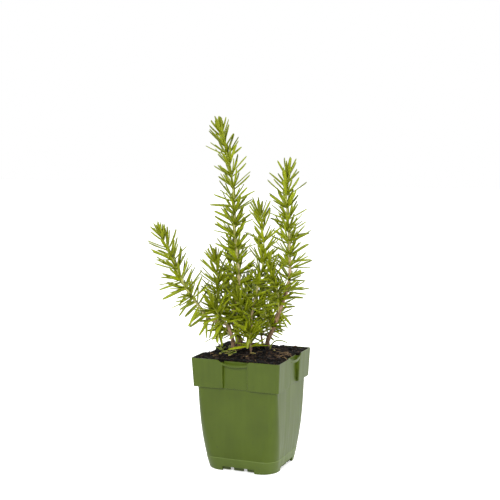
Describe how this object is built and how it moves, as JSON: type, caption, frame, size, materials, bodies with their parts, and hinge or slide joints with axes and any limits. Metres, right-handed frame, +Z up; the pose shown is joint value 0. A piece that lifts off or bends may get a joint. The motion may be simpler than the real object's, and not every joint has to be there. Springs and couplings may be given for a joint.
{
  "type": "potted rosemary",
  "caption": "Upright rosemary with needle leaves on woody stems, growing in potting mix in a square tapered plastic nursery pot with a deep collar and label slots.",
  "frame": {"origin": "middle of the pot's footprint, on the flat end of the boss under its floor, level with the surface that the pot stands on", "axes": "+Z up along the pot's own axis, -Y out of the collar's front label slot, +X out of the right one"},
  "size_m": [0.1635, 0.1342, 0.3951],
  "materials": {
    "green_plastic": "satin moulded",
    "potting_mix": "rough",
    "rosemary": "waxy leaf"
  },
  "bodies": {
    "root": {"pot": "green_plastic", "potting_soil": "potting_mix", "tall_stem": "rosemary", "left_stem": "rosemary", "back_stem": "rosemary", "centre_stem": "rosemary", "right_stem": "rosemary", "low_centre_shoot": "rosemary", "low_back_shoot": "rosemary"}
  },
  "joints": []
}
